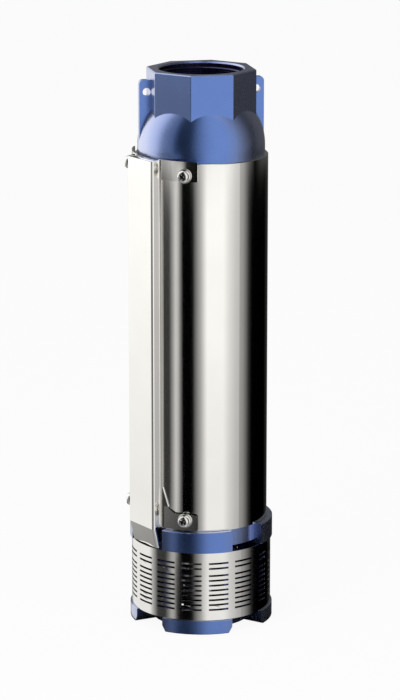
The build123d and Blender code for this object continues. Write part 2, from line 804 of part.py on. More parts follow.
# Shaft sleeves: ground spacers between the coupling, the impellers and the shaft nut
sleeve_bottoms = [coupling_top] + [level + impeller_lift + impeller_height for level in stage_levels]
sleeve_tops = [level + impeller_lift for level in stage_levels] + [last_sleeve_top]
for index, (bottom, top) in enumerate(zip(sleeve_bottoms, sleeve_tops)):
    with BuildPart() as shaft_sleeve:
        with BuildSketch(Plane.XY.offset(bottom)):
            Circle(sleeve_radius)
            RegularPolygon(shaft_across_flats / 2 + press_gap, 6, major_radius=False, mode=Mode.SUBTRACT)
        extrude(amount=top - bottom)
    finish(shaft_sleeve.part, f"shaft_sleeve_{index + 1}")


# Shaft coupling: splined socket for the motor shaft below, hexagonal socket above
lock_screw_level = coupling_top - lock_screw_drop
with BuildPart() as shaft_coupling:
    with BuildSketch(Plane.XY.offset(coupling_start)):
        Circle(coupling_radius)
    extrude(amount=coupling_length)
    chamfer(shaft_coupling.edges().filter_by(GeomType.CIRCLE), coupling_chamfer)
    with BuildSketch(Plane.XY.offset(coupling_start)):
        Circle(motor_shaft_diameter / 2 - spline_depth)
        with PolarLocations(motor_shaft_diameter / 2 - spline_depth, spline_teeth):
            Rectangle(2 * spline_depth, math.pi * motor_shaft_diameter / spline_teeth / 2)
    extrude(amount=coupling_socket_depth, mode=Mode.SUBTRACT)
    with BuildSketch(Plane.XY.offset(shaft_bottom)):
        RegularPolygon(shaft_across_flats / 2 + press_gap, 6, major_radius=False)
    extrude(amount=coupling_top - shaft_bottom, mode=Mode.SUBTRACT)
    with BuildSketch(outward_plane(0, coupling_radius, lock_screw_level)):
        Circle(lock_screw_diameter / 2 + press_gap)
    extrude(amount=-coupling_radius / 2, mode=Mode.SUBTRACT)
finish(shaft_coupling.part, "shaft_coupling")

with BuildPart() as coupling_screw:
    flat_distance = shaft_across_flats / 2 + press_gap
    with BuildSketch(outward_plane(0, flat_distance, lock_screw_level)):
        Circle(lock_screw_diameter / 2)
    extrude(amount=coupling_radius - lock_screw_inset - flat_distance)
    with BuildSketch(outward_plane(0, coupling_radius - lock_screw_inset, lock_screw_level)):
        RegularPolygon(lock_screw_socket / 2, 6, major_radius=False)
    extrude(amount=-lock_screw_socket, mode=Mode.SUBTRACT)
finish(coupling_screw.part, "coupling_screw")


# Shaft nut and washer: clamp the impellers and sleeves along the shaft
with BuildPart() as shaft_washer:
    with BuildSketch(Plane.XY.offset(last_sleeve_top)):
        Circle(shaft_washer_radius)
        Circle(shaft_end_diameter / 2 + slip_gap, mode=Mode.SUBTRACT)
    extrude(amount=shaft_washer_thickness)
finish(shaft_washer.part, "shaft_washer")

with BuildPart() as shaft_nut:
    with BuildSketch(Plane.XY.offset(last_sleeve_top + shaft_washer_thickness)):
        RegularPolygon(nut_across_flats / 2, 6, major_radius=False)
        Circle(shaft_end_diameter / 2 + press_gap, mode=Mode.SUBTRACT)
    extrude(amount=nut_height)
finish(shaft_nut.part, "shaft_nut")


# Valve seat: ring clamped under the valve cage, with a raised land for the seal
with BuildPart() as valve_seat:
    with BuildSketch(Plane.XZ):
        section_face(
            (seat_throat_radius, spigot_bottom + register_height + slip_gap),
            (seat_radius, spigot_bottom + register_height + slip_gap),
            (seat_radius, seat_level - seat_land_height),
            (seat_throat_radius + seat_land, seat_level - seat_land_height),
            (seat_throat_radius + seat_land, seat_level),
            (seat_throat_radius, seat_level),
        )
    revolve(axis=Axis.Z)
finish(valve_seat.part, "valve_seat")


# Valve cage: ring, three legs and a hub that guides the stem
cage_ring_bore = seat_radius - cage_ring_width
cage_ring_level = seat_level - seat_land_height
cage_hub_bore = valve_stem_radius + running_gap
cage_hub_top = cage_hub_level + cage_hub_height
with BuildPart() as valve_cage:
    with BuildSketch(Plane.XZ):
        ring_section_face(cage_ring_bore, seat_radius, cage_ring_level, cage_shoulder - slip_gap)
        ring_section_face(cage_hub_bore, cage_hub_radius, cage_hub_level, cage_hub_top)
    revolve(axis=Axis.Z)
    for index in range(cage_leg_count):
        leg_inside = cage_leg_radius - cage_leg_width
        with BuildSketch(radial_plane(360 / cage_leg_count * index)):
            section_face(
                (leg_inside, cage_shoulder - cage_leg_width),
                (cage_leg_radius, cage_shoulder - cage_leg_width),
                (cage_leg_radius, seat_level + cage_leg_rise),
                (cage_hub_radius - overrun, cage_hub_top),
                (cage_hub_radius - overrun, cage_hub_level + cage_arm_rise),
                (leg_inside, seat_level + cage_leg_rise - cage_leg_width),
            )
        extrude(amount=cage_leg_thickness / 2, both=True)
finish(valve_cage.part, "valve_cage")


# Valve disc, its rubber seal and the spring that closes it
with BuildPart() as valve_disc:
    with BuildSketch(Plane.XZ):
        section_face(
            (0, disc_level - seal_thickness),
            (seal_inner_radius - press_gap, disc_level - seal_thickness),
            (seal_inner_radius - press_gap, disc_level),
            (disc_radius, disc_level),
            (disc_radius, disc_level + disc_thickness / 2),
            (seal_inner_radius, disc_level + disc_thickness),
            (valve_stem_radius, disc_level + disc_thickness),
            (valve_stem_radius, cage_hub_level + cage_hub_height + stem_end_rise - stem_end_chamfer),
            (valve_stem_radius - stem_end_chamfer, cage_hub_level + cage_hub_height + stem_end_rise),
            (0, cage_hub_level + cage_hub_height + stem_end_rise),
        )
    revolve(axis=Axis.Z)
finish(valve_disc.part, "valve_disc")

with BuildPart() as valve_seal:
    with BuildSketch(Plane.XZ):
        ring_section_face(seal_inner_radius, seal_outer_radius, disc_level - seal_thickness, disc_level)
    revolve(axis=Axis.Z)
finish(valve_seal.part, "valve_seal")

with BuildPart() as valve_spring:
    spring_bottom = disc_level + disc_thickness + press_gap + spring_wire / 2
    spring_height = cage_hub_level - press_gap - spring_wire / 2 - spring_bottom
    with BuildLine(Plane.XY.offset(spring_bottom)):
        coil = Helix(spring_height / spring_turns, spring_height, spring_radius)
    with BuildSketch(Plane(coil @ 0, x_dir=(1, 0, 0), z_dir=coil % 0)):
        Rectangle(spring_wire, spring_wire)
    sweep(path=coil, is_frenet=True)
finish(valve_spring.part, "valve_spring")
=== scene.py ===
import math

import bpy
from mathutils import Matrix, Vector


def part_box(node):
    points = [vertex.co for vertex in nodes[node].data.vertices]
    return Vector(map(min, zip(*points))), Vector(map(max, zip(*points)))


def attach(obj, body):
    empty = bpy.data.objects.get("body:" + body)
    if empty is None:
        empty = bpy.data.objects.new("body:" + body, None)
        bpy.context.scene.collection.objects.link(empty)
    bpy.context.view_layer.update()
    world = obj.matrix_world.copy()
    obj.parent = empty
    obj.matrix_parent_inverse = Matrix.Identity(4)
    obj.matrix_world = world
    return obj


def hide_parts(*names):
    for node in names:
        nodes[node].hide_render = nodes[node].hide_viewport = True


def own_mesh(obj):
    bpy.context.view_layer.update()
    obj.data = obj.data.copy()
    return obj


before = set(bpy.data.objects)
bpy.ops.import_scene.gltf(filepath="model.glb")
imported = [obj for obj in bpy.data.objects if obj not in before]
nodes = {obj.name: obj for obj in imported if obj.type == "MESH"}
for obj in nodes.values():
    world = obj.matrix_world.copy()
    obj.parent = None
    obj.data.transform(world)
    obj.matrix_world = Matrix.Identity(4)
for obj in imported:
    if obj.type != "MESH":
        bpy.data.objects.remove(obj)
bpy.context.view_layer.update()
bpy.ops.object.select_all(action="DESELECT")

# Camera: a long lens a little above the outlet, looking down at the pump from the right of
# the cable guard.
camera_turn = math.radians(55.5)
camera_distance = 3.209
camera_height = 1.079
camera_pitch = math.radians(13.8)
camera_aim = math.radians(0.022)
camera_lens = 160.8
camera_sensor = 36
camera_data = bpy.data.cameras.new("photo_camera")
camera_data.lens = camera_lens
camera_data.sensor_width = camera_sensor
camera = bpy.data.objects.new("photo_camera", camera_data)
camera.location = (
    camera_distance * math.sin(camera_turn),
    -camera_distance * math.cos(camera_turn),
    camera_height,
)
camera.rotation_euler = (math.radians(90) - camera_pitch, 0, camera_turn + camera_aim)
bpy.context.scene.collection.objects.link(camera)
bpy.context.scene.camera = camera
bpy.context.scene.view_settings.view_transform = "Standard"


# Studio: a pale floor, a plain white room and a large round tent of white and black cards
# that only polished surfaces reflect. The tent is what draws the upright bands on the steel.
def add_node(material, kind, **settings):
    """New shader node in a material or a node group, with its settings."""
    tree = material if isinstance(material, bpy.types.NodeTree) else material.node_tree
    node = tree.nodes.new(kind)
    for name, value in settings.items():
        setattr(node, name, value)
    return node


def link(source, target):
    """Join an output socket to an input socket of the same tree."""
    source.id_data.links.new(source, target)


def new_material(name):
    """Material with its shader, ready for a pattern."""
    material = bpy.data.materials.new(name)
    material.use_nodes = True
    return material, material.node_tree.nodes["Principled BSDF"]


floor_size = 30
floor_tone = 0.9
floor_roughness = 0.9
floor_card = 0.92
bpy.ops.mesh.primitive_plane_add(size=floor_size)
floor = bpy.context.object
floor.name = "floor"
floor.visible_glossy = False
floor_paint, floor_shader = new_material("floor_paint")
floor_shader.inputs["Base Color"].default_value = (floor_tone, floor_tone, floor_tone, 1)
floor_shader.inputs["Roughness"].default_value = floor_roughness
floor_light = add_node(floor_paint, "ShaderNodeEmission")
floor_rays = add_node(floor_paint, "ShaderNodeLightPath")
floor_share = add_node(floor_paint, "ShaderNodeMath", operation="MULTIPLY")
floor_share.inputs[1].default_value = floor_card
floor_mix = add_node(floor_paint, "ShaderNodeMixShader")
link(floor_rays.outputs["Is Camera Ray"], floor_share.inputs[0])
link(floor_share.outputs["Value"], floor_mix.inputs["Fac"])
link(floor_shader.outputs["BSDF"], floor_mix.inputs[1])
link(floor_light.outputs["Emission"], floor_mix.inputs[2])
floor_output = floor_paint.node_tree.nodes["Material Output"]
link(floor_mix.outputs["Shader"], floor_output.inputs["Surface"])
floor.data.materials.append(floor_paint)

# The tent's cards: each has its tones round the tent, by the angle from the camera in degrees,
# and its strength up the tent, by the height in metres. Their tones add up.
tent_radius = 2.5
tent_middle = 0.3
tent_strength = 1.12
low_cards = [
    (-180, 0.1), (-160, 0.7), (-150, 1.0), (-94, 1.0), (-86, 0.5), (-77, 0.05), (-48, 0.03),
    (-36, 0.0), (-14, 0.0), (0, 0.45), (10, 1.0), (38, 1.0), (48, 0.78), (68, 0.48), (78, 0.25),
    (89, 0.03), (96, 0.0), (140, 0.0), (155, 0.02), (180, 0.1),
]
low_levels = [
    (-2.2, 0.55), (-1.9, 0.4), (-1.5, 0.16), (-1.2, 0.16), (-0.92, 0.55), (-0.82, 0.8),
    (-0.5, 0.82), (-0.05, 1.0), (0.04, 1.0), (0.055, 0.0),
]
high_cards = [
    (-180, 0.1), (-160, 0.5), (-150, 1.1), (-85, 1.1), (-74, 0.42), (-58, 0.4), (-53, 0.44),
    (-46, 0.02), (-18, 0.01), (-2, 0.5), (10, 0.75), (20, 0.85), (48, 0.9), (66, 0.6),
    (84, 0.2), (104, 0.0), (125, 0.08), (180, 0.1),
]
high_levels = [(0.04, 0.0), (0.055, 1.0)]
strip_card = [(-56, 0.0), (-49, 0.3), (-44, 0.6), (-39, 0.42), (-34, 0.0)]
strip_levels = [(-0.62, 0.0), (-0.59, 0.9), (0.04, 1.0), (0.055, 0.0)]
foot_card = [(-61, 0.0), (-54, 0.25), (-49, 0.5), (-44, 0.35), (-39, 0.0)]
foot_levels = [(-1.0, 0.0), (-0.8, 0.75), (-0.62, 0.8), (-0.59, 0.0)]
tab_card = [(-66, 0.0), (-60, 0.2), (-46, 0.4), (-40, 0.4), (-34, 0.0)]
tab_levels = [(0.01, 0.0), (0.04, 1.0), (0.08, 1.0), (0.1, 0.0)]
ground_card = [
    (-180, 0.3), (-165, 0.0), (-90, 0.0), (-75, 0.32), (0, 0.36), (165, 0.32), (180, 0.3),
]
ground_levels = [(-2.2, 0.7), (-1.5, 1.0), (-1.2, 0.8), (-1.0, 0.0)]
tent_parts = [
    (low_cards, low_levels),
    (strip_card, strip_levels),
    (foot_card, foot_levels),
    (tab_card, tab_levels),
    (ground_card, ground_levels),
    (high_cards, high_levels),
]
bpy.ops.mesh.primitive_uv_sphere_add(radius=tent_radius, segments=64, ring_count=32)
tent = bpy.context.object
tent.name = "light_tent"
tent.location = (0, 0, tent_middle)
tent.rotation_euler = (0, 0, camera_turn)
tent.visible_camera = False
tent.visible_diffuse = False
tent.visible_shadow = False
tent.visible_transmission = False
bpy.ops.object.shade_smooth()
tent_cards = bpy.data.materials.new("tent_cards")
tent_cards.use_nodes = True
tent_cards.node_tree.nodes.remove(tent_cards.node_tree.nodes["Principled BSDF"])
tent_place = add_node(tent_cards, "ShaderNodeTexCoord")
tent_axes = add_node(tent_cards, "ShaderNodeSeparateXYZ")
tent_back = add_node(tent_cards, "ShaderNodeMath", operation="MULTIPLY")
tent_back.inputs[1].default_value = -1
tent_turn = add_node(tent_cards, "ShaderNodeMath", operation="ARCTAN2")
tent_range = add_node(tent_cards, "ShaderNodeMapRange")
tent_range.inputs["From Min"].default_value = -math.pi
tent_range.inputs["From Max"].default_value = math.pi


def tone_ramp(material, stops):
    """Grey ramp with a tone at each place from 0 to 1."""
    ramp = add_node(material, "ShaderNodeValToRGB")
    elements = ramp.color_ramp.elements
    elements.remove(elements[0])
    elements[0].position = stops[0][0]
    for place, tone in stops[1:]:
        elements.new(place)
    for element, (place, tone) in zip(elements, stops):
        element.color = (tone, tone, tone, 1)
    return ramp


tent_height = add_node(tent_cards, "ShaderNodeMapRange")
tent_height.inputs["From Min"].default_value = -tent_radius
tent_height.inputs["From Max"].default_value = tent_radius
tent_light = add_node(tent_cards, "ShaderNodeEmission")
link(tent_place.outputs["Object"], tent_axes.inputs["Vector"])
link(tent_axes.outputs["Y"], tent_back.inputs[0])
link(tent_axes.outputs["X"], tent_turn.inputs[0])
link(tent_back.outputs["Value"], tent_turn.inputs[1])
link(tent_turn.outputs["Value"], tent_range.inputs["Value"])
link(tent_axes.outputs["Z"], tent_height.inputs["Value"])
tent_sum = None
for turns, levels in tent_parts:
    turn_stops = [(turn / 360 + 0.5, tone) for turn, tone in turns]
    level_stops = [((level - tent_middle) / tent_radius / 2 + 0.5, tone) for level, tone in levels]
    across = tone_ramp(tent_cards, turn_stops)
    upright = tone_ramp(tent_cards, level_stops)
    both = add_node(tent_cards, "ShaderNodeMath", operation="MULTIPLY_ADD")
    both.inputs[2].default_value = 0.0
    link(tent_range.outputs["Result"], across.inputs["Fac"])
    link(tent_height.outputs["Result"], upright.inputs["Fac"])
    link(across.outputs["Color"], both.inputs[0])
    link(upright.outputs["Color"], both.inputs[1])
    if tent_sum:
        link(tent_sum, both.inputs[2])
    tent_sum = both.outputs["Value"]
tent_level = add_node(tent_cards, "ShaderNodeMath", operation="MULTIPLY")
tent_level.inputs[1].default_value = tent_strength
link(tent_sum, tent_level.inputs[0])
link(tent_level.outputs["Value"], tent_light.inputs["Strength"])
tent_output = tent_cards.node_tree.nodes["Material Output"]
link(tent_light.outputs["Emission"], tent_output.inputs["Surface"])
tent.data.materials.append(tent_cards)

# Painted shadow under the pump: a black disc just under the floor's level, which only polished
# surfaces see, stands for the shade the pump casts on the floor, so that they mirror no bright floor
# from underneath.
shade_radius = 0.078
shade_drop = 0.0004
bpy.ops.mesh.primitive_circle_add(
    vertices=64, radius=shade_radius, fill_type="NGON", location=(0, 0, -shade_drop)
)
shade = bpy.context.object
shade.name = "standing_shade"
shade.visible_camera = False
shade.visible_diffuse = False
shade.visible_shadow = False
shade.visible_transmission = False
shade_black, shade_shader = new_material("shade_black")
shade_shader.inputs["Base Color"].default_value = (0, 0, 0, 1)
shade_shader.inputs["Roughness"].default_value = 1.0
shade_shader.inputs["Specular IOR Level"].default_value = 0.0
shade.data.materials.append(shade_black)

# The room gives an even soft light. To the camera and to polished surfaces it is white.
room_light = 0.55
world = bpy.data.worlds.new("white_room")
bpy.context.scene.world = world
world.use_nodes = True
room = world.node_tree
room_shade = room.nodes["Background"]
room_shade.inputs["Color"].default_value = (1, 1, 1, 1)
room_rays = add_node(room, "ShaderNodeLightPath")
room_sharp = add_node(room, "ShaderNodeMath", operation="ADD")
room_seen = add_node(room, "ShaderNodeMath", operation="ADD", use_clamp=True)
room_range = add_node(room, "ShaderNodeMapRange")
room_range.inputs["To Min"].default_value = room_light
room_range.inputs["To Max"].default_value = 1.0
link(room_rays.outputs["Is Glossy Ray"], room_sharp.inputs[0])
link(room_rays.outputs["Is Transmission Ray"], room_sharp.inputs[1])
link(room_rays.outputs["Is Camera Ray"], room_seen.inputs[0])
link(room_sharp.outputs["Value"], room_seen.inputs[1])
link(room_seen.outputs["Value"], room_range.inputs["Value"])
link(room_range.outputs["Result"], room_shade.inputs["Strength"])

# Each lamp has a turn from the camera in degrees, a distance and a height in metres, and watts.
lamp_size = 1.6
lamps = [("key_lamp", -35, 2.2, 1.6, 26), ("fill_lamp", 45, 2.4, 1.2, 12)]
for lamp_name, lamp_turn, lamp_distance, lamp_height, lamp_power in lamps:
    lamp_data = bpy.data.lights.new(lamp_name, "AREA")
    lamp_data.shape = "DISK"
    lamp_data.size = lamp_size
    lamp_data.energy = lamp_power
    lamp = bpy.data.objects.new(lamp_name, lamp_data)
    lamp_angle = camera_turn + math.radians(lamp_turn)
    lamp_lean = math.atan2(lamp_distance, lamp_height - tent_middle)
    lamp.location = (
        lamp_distance * math.sin(lamp_angle),
        -lamp_distance * math.cos(lamp_angle),
        lamp_height,
    )
    lamp.rotation_euler = (lamp_lean, 0, lamp_angle)
    lamp.visible_glossy = False
    bpy.context.scene.collection.objects.link(lamp)


# Suction casing: one iron casting with a foot ring, four hollow columns and a crown, sprayed
# with a glossy blue metallic paint that leaves the skin of the casting to be felt. Four studs
# hold its feet on the motor.
def group_input(group, name, kind, value=None):
    """Named input of a node group."""
    socket = group.interface.new_socket(name=name, in_out="INPUT", socket_type=kind)
    if value is not None:
        socket.default_value = value


cast_skin = bpy.data.node_groups.new("cast_skin", "ShaderNodeTree")
group_input(cast_skin, "Place", "NodeSocketVector")
group_input(cast_skin, "Pitch", "NodeSocketFloat", 300.0)
group_input(cast_skin, "Cloud Pitch", "NodeSocketFloat", 30.0)
cast_skin.interface.new_socket(name="Height", in_out="OUTPUT", socket_type="NodeSocketFloat")
cast_skin.interface.new_socket(name="Cloud", in_out="OUTPUT", socket_type="NodeSocketFloat")
skin_in = add_node(cast_skin, "NodeGroupInput")
skin_out = add_node(cast_skin, "NodeGroupOutput")
skin_peel = add_node(cast_skin, "ShaderNodeTexNoise")
skin_peel.inputs["Detail"].default_value = 3.0
skin_cloud = add_node(cast_skin, "ShaderNodeTexNoise")
skin_cloud.inputs["Detail"].default_value = 4.0
link(skin_in.outputs["Place"], skin_peel.inputs["Vector"])
link(skin_in.outputs["Pitch"], skin_peel.inputs["Scale"])
link(skin_in.outputs["Place"], skin_cloud.inputs["Vector"])
link(skin_in.outputs["Cloud Pitch"], skin_cloud.inputs["Scale"])
link(skin_peel.outputs["Fac"], skin_out.inputs["Height"])
link(skin_cloud.outputs["Fac"], skin_out.inputs["Cloud"])


def place_group(material, group, **values):
    """A node group placed in a material on the piece's own coordinates."""
    node = add_node(material, "ShaderNodeGroup", node_tree=group)
    place = add_node(material, "ShaderNodeTexCoord")
    link(place.outputs["Object"], node.inputs["Place"])
    for name, value in values.items():
        node.inputs[name.replace("_", " ")].default_value = value
    return node


mask_low = 0.3
mask_high = 0.7


def tone_between(material, mask, shader_input, dark, light):
    """A mask spread between two colours or two numbers, on a socket of the shader."""
    spread = add_node(material, "ShaderNodeMapRange")
    spread.inputs["From Min"].default_value = mask_low
    spread.inputs["From Max"].default_value = mask_high
    link(mask, spread.inputs["Value"])
    if isinstance(dark, tuple):
        mix = add_node(material, "ShaderNodeMix", data_type="RGBA")
        mix.inputs["A"].default_value = (*dark, 1)
        mix.inputs["B"].default_value = (*light, 1)
        link(spread.outputs["Result"], mix.inputs["Factor"])
        link(mix.outputs["Result"], shader_input)
    else:
        spread.inputs["To Min"].default_value = dark
        spread.inputs["To Max"].default_value = light
        link(spread.outputs["Result"], shader_input)


def raise_height(material, height, shader, distance, strength):
    """A height pattern that tilts the surface's normal."""
    bump = add_node(material, "ShaderNodeBump")
    bump.inputs["Distance"].default_value = distance
    bump.inputs["Strength"].default_value = strength
    link(height, bump.inputs["Height"])
    link(bump.outputs["Normal"], shader.inputs["Normal"])


def zone_mask(material, radius, low, high):
    """1 within a radius of the pump's axis and between two levels, 0 elsewhere."""
    place = add_node(material, "ShaderNodeTexCoord")
    axes = add_node(material, "ShaderNodeSeparateXYZ")
    flat = add_node(material, "ShaderNodeVectorMath", operation="MULTIPLY")
    flat.inputs[1].default_value = (1.0, 1.0, 0.0)
    reach = add_node(material, "ShaderNodeVectorMath", operation="LENGTH")
    near = add_node(material, "ShaderNodeMath", operation="LESS_THAN")
    near.inputs[1].default_value = radius
    under = add_node(material, "ShaderNodeMath", operation="LESS_THAN")
    under.inputs[1].default_value = high
    above = add_node(material, "ShaderNodeMath", operation="GREATER_THAN")
    above.inputs[1].default_value = low
    between = add_node(material, "ShaderNodeMath", operation="MULTIPLY")
    zone = add_node(material, "ShaderNodeMath", operation="MULTIPLY")
    link(place.outputs["Object"], flat.inputs[0])
    link(place.outputs["Object"], axes.inputs["Vector"])
    link(flat.outputs["Vector"], reach.inputs[0])
    link(reach.outputs["Value"], near.inputs[0])
    link(axes.outputs["Z"], under.inputs[0])
    link(axes.outputs["Z"], above.inputs[0])
    link(under.outputs["Value"], between.inputs[0])
    link(above.outputs["Value"], between.inputs[1])
    link(between.outputs["Value"], zone.inputs[0])
    link(near.outputs["Value"], zone.inputs[1])
    return zone.outputs["Value"]


blue_dark = (0.118, 0.212, 0.54)
blue_light = (0.142, 0.246, 0.6)
# Painted sheen: the blue is mixed towards a pale tone where the surface turns away from the view, by
# the Layer Weight's facing.
blue_painted_sheen_tone = (0.95, 0.93, 0.97, 1)
blue_painted_sheen_share = 0.45
blue_painted_sheen_slants = (0.09, 0.5)
# Painted shade: the blue is darkened in the bore of the outlet and in the hollow of the casing,
# where shade falls.
bore_painted_shade = (0.045, 0.045, 0.12, 1)
bore_radius = 0.0446
bore_levels = (0.5, 0.5895)
sump_painted_shade = (0.03, 0.045, 0.13, 1)
sump_radius = 0.0739
sump_levels = (0.0148, 0.0892)
blue_paint, blue_shader = new_material("blue_paint")
blue_skin = place_group(blue_paint, cast_skin, Pitch=520.0, Cloud_Pitch=24.0)
# Painted sheen on the blue, by the Layer Weight's facing.
blue_painted_sheen_slant = add_node(blue_paint, "ShaderNodeLayerWeight")
blue_painted_sheen_spread = add_node(blue_paint, "ShaderNodeMapRange")
blue_painted_sheen_spread.inputs["From Min"].default_value = blue_painted_sheen_slants[0]
blue_painted_sheen_spread.inputs["From Max"].default_value = blue_painted_sheen_slants[1]
blue_painted_sheen_spread.inputs["To Max"].default_value = blue_painted_sheen_share
blue_painted_sheen_mix = add_node(blue_paint, "ShaderNodeMix", data_type="RGBA")
blue_painted_sheen_mix.inputs["B"].default_value = blue_painted_sheen_tone
# Painted shade: the two masks below darken the blue in the bore and in the hollow of the casing.
blue_bore_painted_shade = add_node(blue_paint, "ShaderNodeMix", data_type="RGBA")
blue_bore_painted_shade.inputs["B"].default_value = bore_painted_shade
blue_sump_painted_shade = add_node(blue_paint, "ShaderNodeMix", data_type="RGBA")
blue_sump_painted_shade.inputs["B"].default_value = sump_painted_shade
tone_between(blue_paint, blue_skin.outputs["Cloud"], blue_painted_sheen_mix.inputs["A"], blue_dark, blue_light)
link(blue_painted_sheen_slant.outputs["Facing"], blue_painted_sheen_spread.inputs["Value"])
link(blue_painted_sheen_spread.outputs["Result"], blue_painted_sheen_mix.inputs["Factor"])
link(blue_painted_sheen_mix.outputs["Result"], blue_bore_painted_shade.inputs["A"])
link(zone_mask(blue_paint, bore_radius, *bore_levels), blue_bore_painted_shade.inputs["Factor"])
link(blue_bore_painted_shade.outputs["Result"], blue_sump_painted_shade.inputs["A"])
link(zone_mask(blue_paint, sump_radius, *sump_levels), blue_sump_painted_shade.inputs["Factor"])
link(blue_sump_painted_shade.outputs["Result"], blue_shader.inputs["Base Color"])
tone_between(blue_paint, blue_skin.outputs["Cloud"], blue_shader.inputs["Roughness"], 0.24, 0.3)
raise_height(blue_paint, blue_skin.outputs["Height"], blue_shader, 0.00004, 0.3)
blue_shader.inputs["Metallic"].default_value = 0.97
blue_shader.inputs["Coat Weight"].default_value = 0.3
blue_shader.inputs["Coat Roughness"].default_value = 0.12


def dress(node_name, material):
    """A material on all of a carried-over node."""
    node = nodes[node_name]
    node.data.materials.clear()
    node.data.materials.append(material)


dress("suction_casing", blue_paint)

# Shaft line: a hexagonal stainless bar with turned sleeves, a splined coupling for the motor,
# its set screw, and the washer and nut that clamp the wheels. All of it is turned or ground.
lathe_marks = bpy.data.node_groups.new("lathe_marks", "ShaderNodeTree")
group_input(lathe_marks, "Place", "NodeSocketVector")
group_input(lathe_marks, "Pitch", "NodeSocketFloat", 1800.0)
group_input(lathe_marks, "Cloud Pitch", "NodeSocketFloat", 40.0)
lathe_marks.interface.new_socket(name="Height", in_out="OUTPUT", socket_type="NodeSocketFloat")
lathe_marks.interface.new_socket(name="Cloud", in_out="OUTPUT", socket_type="NodeSocketFloat")
lathe_in = add_node(lathe_marks, "NodeGroupInput")
lathe_out = add_node(lathe_marks, "NodeGroupOutput")
lathe_flat = add_node(lathe_marks, "ShaderNodeVectorMath", operation="MULTIPLY")
lathe_flat.inputs[1].default_value = (1.0, 1.0, 0.0)
lathe_reach = add_node(lathe_marks, "ShaderNodeVectorMath", operation="LENGTH")
lathe_axes = add_node(lathe_marks, "ShaderNodeSeparateXYZ")
lathe_rings = add_node(lathe_marks, "ShaderNodeCombineXYZ")
lathe_lines = add_node(lathe_marks, "ShaderNodeTexNoise")
lathe_lines.inputs["Detail"].default_value = 2.0
lathe_cloud = add_node(lathe_marks, "ShaderNodeTexNoise")
lathe_cloud.inputs["Detail"].default_value = 3.0
link(lathe_in.outputs["Place"], lathe_flat.inputs[0])
link(lathe_flat.outputs["Vector"], lathe_reach.inputs[0])
link(lathe_in.outputs["Place"], lathe_axes.inputs["Vector"])
link(lathe_reach.outputs["Value"], lathe_rings.inputs["X"])
link(lathe_axes.outputs["Z"], lathe_rings.inputs["Z"])
link(lathe_rings.outputs["Vector"], lathe_lines.inputs["Vector"])
link(lathe_in.outputs["Pitch"], lathe_lines.inputs["Scale"])
link(lathe_in.outputs["Place"], lathe_cloud.inputs["Vector"])
link(lathe_in.outputs["Cloud Pitch"], lathe_cloud.inputs["Scale"])
link(lathe_lines.outputs["Fac"], lathe_out.inputs["Height"])
link(lathe_cloud.outputs["Fac"], lathe_out.inputs["Cloud"])


lathe_depth = 0.000006


def turned_metal(name, dark, light, roughness, pitch):
    """Bare metal with the fine rings of a lathe and a faint cloudiness."""
    material, shader = new_material(name)
    marks = place_group(material, lathe_marks, Pitch=pitch)
    cloud, height = marks.outputs["Cloud"], marks.outputs["Height"]
    tone_between(material, cloud, shader.inputs["Base Color"], dark, light)
    tone_between(material, height, shader.inputs["Roughness"], roughness * 0.8, roughness * 1.25)
    raise_height(material, height, shader, lathe_depth, 0.4)
    shader.inputs["Metallic"].default_value = 1.0
    return material


shaft_metal = turned_metal("shaft_metal", (0.56, 0.555, 0.54), (0.66, 0.655, 0.64), 0.24, 1800.0)
for node_name in ("pump_shaft", "shaft_coupling", "shaft_washer", "shaft_nut"):
    dress(node_name, shaft_metal)
for index in range(4):
    dress(f"shaft_sleeve_{index + 1}", shaft_metal)
dark_metal = turned_metal("dark_metal", (0.3, 0.3, 0.31), (0.4, 0.4, 0.4), 0.32, 1800.0)
dress("coupling_screw", dark_metal)

# Bushes and rubber rings: black moulded rubber, pressed into the spider and the bowl hubs or
# laid in the grooves of the two spigots. It has a dull bloom and a faint moulded grain.
rubber_depth = 0.00003


def rubber(name, dark, light, roughness, pitch):
    """Moulded rubber with a grain and a paler bloom in patches."""
    material, shader = new_material(name)
    skin = place_group(material, cast_skin, Pitch=pitch, Cloud_Pitch=60.0)
    cloud = skin.outputs["Cloud"]
    tone_between(material, cloud, shader.inputs["Base Color"], dark, light)
    tone_between(material, cloud, shader.inputs["Roughness"], roughness * 0.9, roughness * 1.1)
    raise_height(material, skin.outputs["Height"], shader, rubber_depth, 0.4)
    return material


bush_rubber = rubber("bush_rubber", (0.018, 0.018, 0.02), (0.035, 0.034, 0.033), 0.62, 900.0)
dress("lower_bush", bush_rubber)
for index in range(3):
    dress(f"stage_bush_{index + 1}", bush_rubber)
ring_rubber = rubber("ring_rubber", (0.012, 0.012, 0.013), (0.022, 0.022, 0.022), 0.48, 1400.0)
for node_name in ("head_o_ring", "casing_o_ring", "valve_seal"):
    dress(node_name, ring_rubber)

# Bowls: grey iron castings that close each stage, with guide vanes and a hub. They keep the
# sandy skin of the mould, with brown patches where the first rust has been wiped off.
bowl_grey = (0.1, 0.102, 0.107)
bowl_rust = (0.17, 0.155, 0.14)
bowl_iron, bowl_shader = new_material("bowl_iron")
bowl_skin = place_group(bowl_iron, cast_skin, Pitch=700.0, Cloud_Pitch=35.0)
tone_between(
    bowl_iron, bowl_skin.outputs["Cloud"], bowl_shader.inputs["Base Color"], bowl_grey, bowl_rust
)
tone_between(bowl_iron, bowl_skin.outputs["Height"], bowl_shader.inputs["Roughness"], 0.5, 0.72)
raise_height(bowl_iron, bowl_skin.outputs["Height"], bowl_shader, 0.00012, 0.5)
bowl_shader.inputs["Metallic"].default_value = 0.45
for index in range(3):
    dress(f"bowl_{index + 1}", bowl_iron)

# Neck rings: bronze wear rings round the eye of each wheel, where the running gap is smallest.
# They are turned, and pressed in below each wheel so that they can be renewed.
neck_bronze = turned_metal("neck_bronze", (0.42, 0.25, 0.1), (0.6, 0.39, 0.17), 0.3, 1800.0)
for index in range(3):
    dress(f"neck_ring_{index + 1}", neck_bronze)

